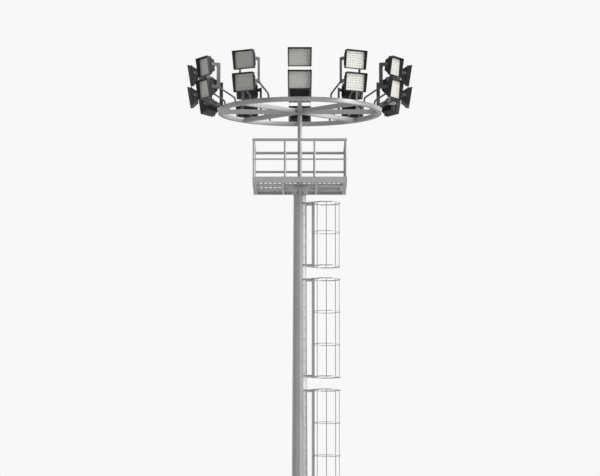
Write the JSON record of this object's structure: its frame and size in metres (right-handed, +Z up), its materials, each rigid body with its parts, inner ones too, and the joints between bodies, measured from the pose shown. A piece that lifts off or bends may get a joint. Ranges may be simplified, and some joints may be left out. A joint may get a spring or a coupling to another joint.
{
  "type": "stadium floodlight pylon",
  "caption": "Tapered steel mast with caged ladder, railed service platform and a spoked ring that carries tilting floodlights in pairs.",
  "frame": {"origin": "centre of the base flange's underside", "axes": "+Z up the mast, -Y towards the picture's viewer, +X towards the ladder"},
  "size_m": [5.841, 5.841, 16.6863],
  "materials": {
    "galvanised": "satin grey",
    "grating": "matt grey",
    "dark_steel": "matt dark grey",
    "bracket_paint": "satin charcoal",
    "lamp_housing": "matt black"
  },
  "bodies": {
    "pylon": {"base_flange": "galvanised", "mast_lower": "galvanised", "mast_upper": "galvanised", "mast_cap": "galvanised", "head_struts": "galvanised", "head_disc": "dark_steel", "edge_beams_front_back": "galvanised", "edge_beams_sides": "galvanised", "deck_joists": "galvanised", "deck_left": "grating", "deck_middle": "grating", "deck_right": "grating", "railing_front": "galvanised", "railing_back": "galvanised", "railing_left": "galvanised", "railing_right": "galvanised", "head_pole": "galvanised", "ring_hub": "galvanised", "ring_rim": "galvanised", "ring_spokes": "galvanised", "side_frames_front": "bracket_paint", "side_frames_right": "bracket_paint", "side_frames_back": "bracket_paint", "side_frames_left": "bracket_paint", "ladders": "galvanised", "ladder_standoffs": "galvanised", "cage_hoops": "galvanised", "cage_bars": "galvanised"},
    "hatch": {"hatch_lid": "grating"},
    "floodlight_01_upper": {"floodlight_01_upper": "lamp_housing"},
    "floodlight_01_lower": {"floodlight_01_lower": "lamp_housing"},
    "floodlight_02_upper": {"floodlight_02_upper": "lamp_housing"},
    "floodlight_02_lower": {"floodlight_02_lower": "lamp_housing"},
    "floodlight_03_upper": {"floodlight_03_upper": "lamp_housing"},
    "floodlight_03_lower": {"floodlight_03_lower": "lamp_housing"},
    "floodlight_04_upper": {"floodlight_04_upper": "lamp_housing"},
    "floodlight_04_lower": {"floodlight_04_lower": "lamp_housing"},
    "floodlight_05_upper": {"floodlight_05_upper": "lamp_housing"},
    "floodlight_05_lower": {"floodlight_05_lower": "lamp_housing"},
    "floodlight_06_upper": {"floodlight_06_upper": "lamp_housing"},
    "floodlight_06_lower": {"floodlight_06_lower": "lamp_housing"},
    "floodlight_07_upper": {"floodlight_07_upper": "lamp_housing"},
    "floodlight_07_lower": {"floodlight_07_lower": "lamp_housing"},
    "floodlight_08_upper": {"floodlight_08_upper": "lamp_housing"},
    "floodlight_08_lower": {"floodlight_08_lower": "lamp_housing"},
    "floodlight_09_upper": {"floodlight_09_upper": "lamp_housing"},
    "floodlight_09_lower": {"floodlight_09_lower": "lamp_housing"},
    "floodlight_10_upper": {"floodlight_10_upper": "lamp_housing"},
    "floodlight_10_lower": {"floodlight_10_lower": "lamp_housing"},
    "floodlight_11_upper": {"floodlight_11_upper": "lamp_housing"},
    "floodlight_11_lower": {"floodlight_11_lower": "lamp_housing"},
    "floodlight_12_upper": {"floodlight_12_upper": "lamp_housing"},
    "floodlight_12_lower": {"floodlight_12_lower": "lamp_housing"}
  },
  "joints": [
    {"name": "floodlight_01_upper_tilt", "type": "hinge", "parent": "pylon", "child": "floodlight_01_upper", "pos_m": [0, -2.735, 16.481], "axis": [-1, 0, 0], "range_deg": [-25, 25]},
    {"name": "floodlight_01_lower_tilt", "type": "hinge", "parent": "pylon", "child": "floodlight_01_lower", "pos_m": [0, -2.735, 15.903], "axis": [-1, 0, 0], "range_deg": [-25, 25]},
    {"name": "floodlight_02_upper_tilt", "type": "hinge", "parent": "pylon", "child": "floodlight_02_upper", "pos_m": [1.3675, -2.36858, 16.481], "axis": [-0.866, -0.5, 0], "range_deg": [-25, 25]},
    {"name": "floodlight_02_lower_tilt", "type": "hinge", "parent": "pylon", "child": "floodlight_02_lower", "pos_m": [1.3675, -2.36858, 15.903], "axis": [-0.866, -0.5, 0], "range_deg": [-25, 25]},
    {"name": "floodlight_03_upper_tilt", "type": "hinge", "parent": "pylon", "child": "floodlight_03_upper", "pos_m": [2.36858, -1.3675, 16.481], "axis": [-0.5, -0.866, 0], "range_deg": [-25, 25]},
    {"name": "floodlight_03_lower_tilt", "type": "hinge", "parent": "pylon", "child": "floodlight_03_lower", "pos_m": [2.36858, -1.3675, 15.903], "axis": [-0.5, -0.866, 0], "range_deg": [-25, 25]},
    {"name": "floodlight_04_upper_tilt", "type": "hinge", "parent": "pylon", "child": "floodlight_04_upper", "pos_m": [2.735, 0, 16.481], "axis": [0, -1, 0], "range_deg": [-25, 25]},
    {"name": "floodlight_04_lower_tilt", "type": "hinge", "parent": "pylon", "child": "floodlight_04_lower", "pos_m": [2.735, 0, 15.903], "axis": [0, -1, 0], "range_deg": [-25, 25]},
    {"name": "floodlight_05_upper_tilt", "type": "hinge", "parent": "pylon", "child": "floodlight_05_upper", "pos_m": [2.36858, 1.3675, 16.481], "axis": [0.5, -0.866, 0], "range_deg": [-25, 25]},
    {"name": "floodlight_05_lower_tilt", "type": "hinge", "parent": "pylon", "child": "floodlight_05_lower", "pos_m": [2.36858, 1.3675, 15.903], "axis": [0.5, -0.866, 0], "range_deg": [-25, 25]},
    {"name": "floodlight_06_upper_tilt", "type": "hinge", "parent": "pylon", "child": "floodlight_06_upper", "pos_m": [1.3675, 2.36858, 16.481], "axis": [0.866, -0.5, 0], "range_deg": [-25, 25]},
    {"name": "floodlight_06_lower_tilt", "type": "hinge", "parent": "pylon", "child": "floodlight_06_lower", "pos_m": [1.3675, 2.36858, 15.903], "axis": [0.866, -0.5, 0], "range_deg": [-25, 25]},
    {"name": "floodlight_07_upper_tilt", "type": "hinge", "parent": "pylon", "child": "floodlight_07_upper", "pos_m": [0, 2.735, 16.481], "axis": [1, 0, 0], "range_deg": [-25, 25]},
    {"name": "floodlight_07_lower_tilt", "type": "hinge", "parent": "pylon", "child": "floodlight_07_lower", "pos_m": [0, 2.735, 15.903], "axis": [1, 0, 0], "range_deg": [-25, 25]},
    {"name": "floodlight_08_upper_tilt", "type": "hinge", "parent": "pylon", "child": "floodlight_08_upper", "pos_m": [-1.3675, 2.36858, 16.481], "axis": [0.866, 0.5, 0], "range_deg": [-25, 25]},
    {"name": "floodlight_08_lower_tilt", "type": "hinge", "parent": "pylon", "child": "floodlight_08_lower", "pos_m": [-1.3675, 2.36858, 15.903], "axis": [0.866, 0.5, 0], "range_deg": [-25, 25]},
    {"name": "floodlight_09_upper_tilt", "type": "hinge", "parent": "pylon", "child": "floodlight_09_upper", "pos_m": [-2.36858, 1.3675, 16.481], "axis": [0.5, 0.866, 0], "range_deg": [-25, 25]},
    {"name": "floodlight_09_lower_tilt", "type": "hinge", "parent": "pylon", "child": "floodlight_09_lower", "pos_m": [-2.36858, 1.3675, 15.903], "axis": [0.5, 0.866, 0], "range_deg": [-25, 25]},
    {"name": "floodlight_10_upper_tilt", "type": "hinge", "parent": "pylon", "child": "floodlight_10_upper", "pos_m": [-2.735, 0, 16.481], "axis": [0, 1, 0], "range_deg": [-25, 25]},
    {"name": "floodlight_10_lower_tilt", "type": "hinge", "parent": "pylon", "child": "floodlight_10_lower", "pos_m": [-2.735, 0, 15.903], "axis": [0, 1, 0], "range_deg": [-25, 25]},
    {"name": "floodlight_11_upper_tilt", "type": "hinge", "parent": "pylon", "child": "floodlight_11_upper", "pos_m": [-2.36858, -1.3675, 16.481], "axis": [-0.5, 0.866, 0], "range_deg": [-25, 25]},
    {"name": "floodlight_11_lower_tilt", "type": "hinge", "parent": "pylon", "child": "floodlight_11_lower", "pos_m": [-2.36858, -1.3675, 15.903], "axis": [-0.5, 0.866, 0], "range_deg": [-25, 25]},
    {"name": "floodlight_12_upper_tilt", "type": "hinge", "parent": "pylon", "child": "floodlight_12_upper", "pos_m": [-1.3675, -2.36858, 16.481], "axis": [-0.866, 0.5, 0], "range_deg": [-25, 25]},
    {"name": "floodlight_12_lower_tilt", "type": "hinge", "parent": "pylon", "child": "floodlight_12_lower", "pos_m": [-1.3675, -2.36858, 15.903], "axis": [-0.866, 0.5, 0], "range_deg": [-25, 25]},
    {"name": "hatch_lift", "type": "hinge", "parent": "pylon", "child": "hatch", "pos_m": [1.067, 0, 13.552], "axis": [0, 1, 0], "range_deg": [0, 95]}
  ]
}
